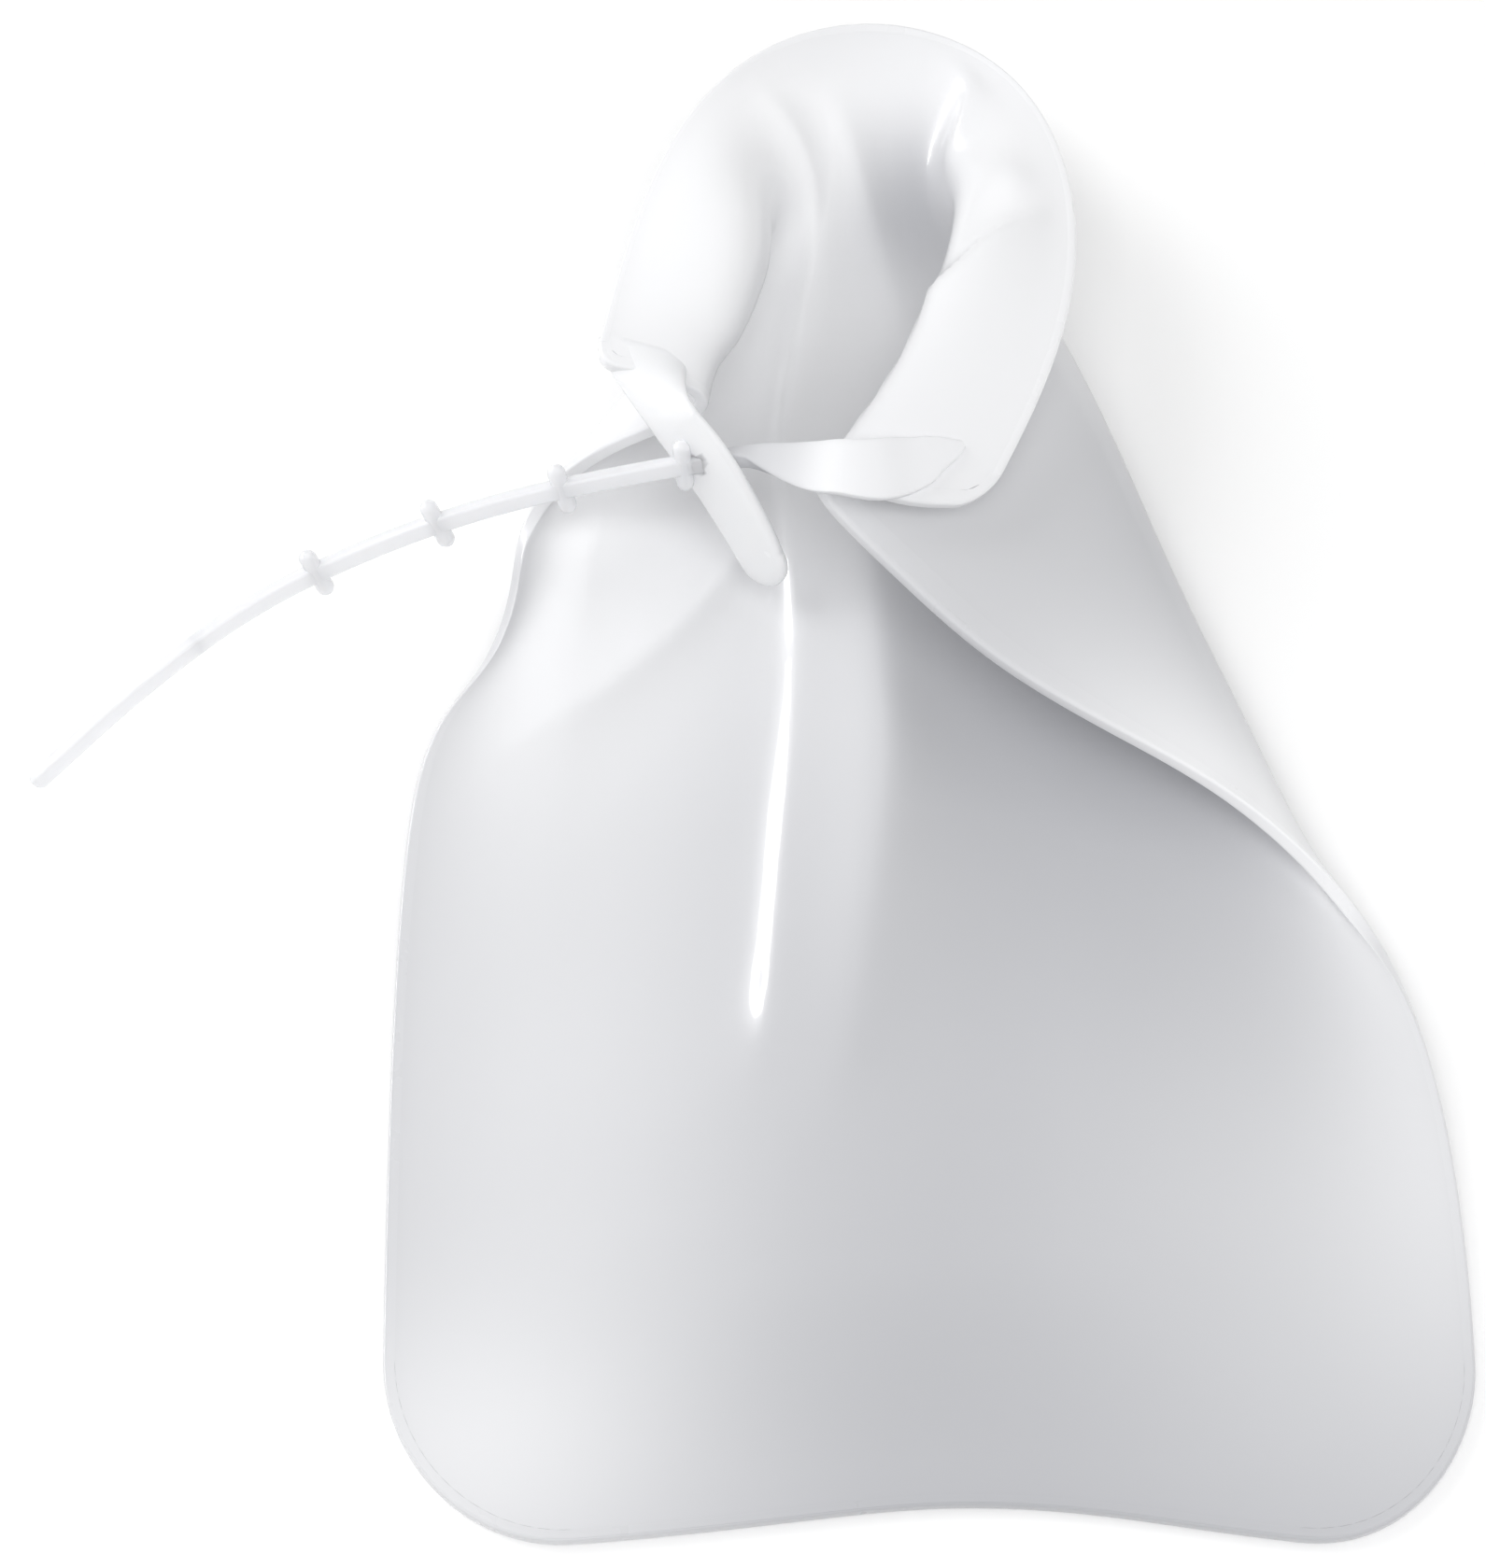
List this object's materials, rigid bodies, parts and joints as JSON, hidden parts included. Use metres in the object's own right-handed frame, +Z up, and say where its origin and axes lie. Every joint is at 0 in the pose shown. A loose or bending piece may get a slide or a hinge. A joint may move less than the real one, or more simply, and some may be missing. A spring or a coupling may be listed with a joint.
{
  "type": "reusable silicone bag",
  "caption": "Translucent silicone food bag lying on its back, mouth rolled into an open hood and locked by a knobbed strap through a slotted tab.",
  "frame": {"origin": "on the flat underside, under the middle of the pouch", "axes": "+X to the bag's right side as it lies, +Y from the bottom seam to the mouth, +Z up from the table"},
  "size_m": [0.2642, 0.3019, 0.049],
  "materials": {
    "wall": "satin",
    "edge": "satin",
    "strap": "satin"
  },
  "bodies": {
    "bag": {"back_panel": "wall", "front_panel": "wall", "back_neck": "wall", "front_neck": "wall", "back_collar": "wall", "front_collar": "wall", "back_lip": "edge", "front_lip": "edge", "bottom_seam": "edge", "left_seam": "edge", "right_seam": "edge", "tab_root": "edge", "slot_tab": "edge", "strap_root": "strap", "strap_bridge": "strap"},
    "tab_end": {"tab_tip": "edge"},
    "strap_1": {"strap_link_1": "strap", "lock_knob_1": "strap"},
    "strap_2": {"strap_link_2": "strap", "lock_knob_2": "strap"},
    "strap_3": {"strap_link_3": "strap", "lock_knob_3": "strap"},
    "strap_4": {"strap_link_4": "strap", "lock_knob_4": "strap"},
    "strap_5": {"strap_link_5": "strap"},
    "strap_6": {"strap_tip": "strap"}
  },
  "joints": [
    {"name": "strap_pull", "type": "slide", "parent": "bag", "child": "strap_1", "axis": [-0.9838, -0.1795, 0], "range_m": [0, 0.008], "stiffness_N_per_m": 60, "deforming": ["strap_bridge"]},
    {"name": "strap_bend_1", "type": "hinge", "parent": "strap_1", "child": "strap_2", "pos_m": [-0.0552, 0.141, 0.0345], "axis": [0.0851, 0.8578, -0.5069], "range_deg": [-3, 22], "stiffness_Nm_per_rad": 0.03},
    {"name": "strap_bend_2", "type": "hinge", "parent": "strap_2", "child": "strap_3", "pos_m": [-0.0797, 0.139, 0.027], "axis": [0.1079, 0.8697, -0.4817], "range_deg": [-3, 22], "stiffness_Nm_per_rad": 0.03},
    {"name": "strap_bend_3", "type": "hinge", "parent": "strap_3", "child": "strap_4", "pos_m": [-0.1024, 0.136, 0.0165], "axis": [-0.1171, 0.8557, -0.504], "range_deg": [-3, 22], "stiffness_Nm_per_rad": 0.03},
    {"name": "strap_bend_4", "type": "hinge", "parent": "strap_4", "child": "strap_5", "pos_m": [-0.126, 0.128, 0.0084], "axis": [-0.445, 0.7262, -0.5241], "range_deg": [-3, 22], "stiffness_Nm_per_rad": 0.03},
    {"name": "strap_bend_5", "type": "hinge", "parent": "strap_5", "child": "strap_6", "pos_m": [-0.1474, 0.112, 0.0044], "axis": [-0.5812, 0.6184, -0.5289], "range_deg": [-3, 22], "stiffness_Nm_per_rad": 0.03},
    {"name": "tab_flex", "type": "hinge", "parent": "bag", "child": "tab_end", "pos_m": [-0.03741, 0.13737, 0.02863], "axis": [0.6072, -0.0958, 0.7887], "range_deg": [-25, 25], "stiffness_Nm_per_rad": 0.02}
  ],
  "couplings": [
    {"joint": "strap_bend_2", "follows": "strap_bend_1", "ratio": 1},
    {"joint": "strap_bend_3", "follows": "strap_bend_1", "ratio": 1},
    {"joint": "strap_bend_4", "follows": "strap_bend_1", "ratio": 1},
    {"joint": "strap_bend_5", "follows": "strap_bend_1", "ratio": 1}
  ]
}
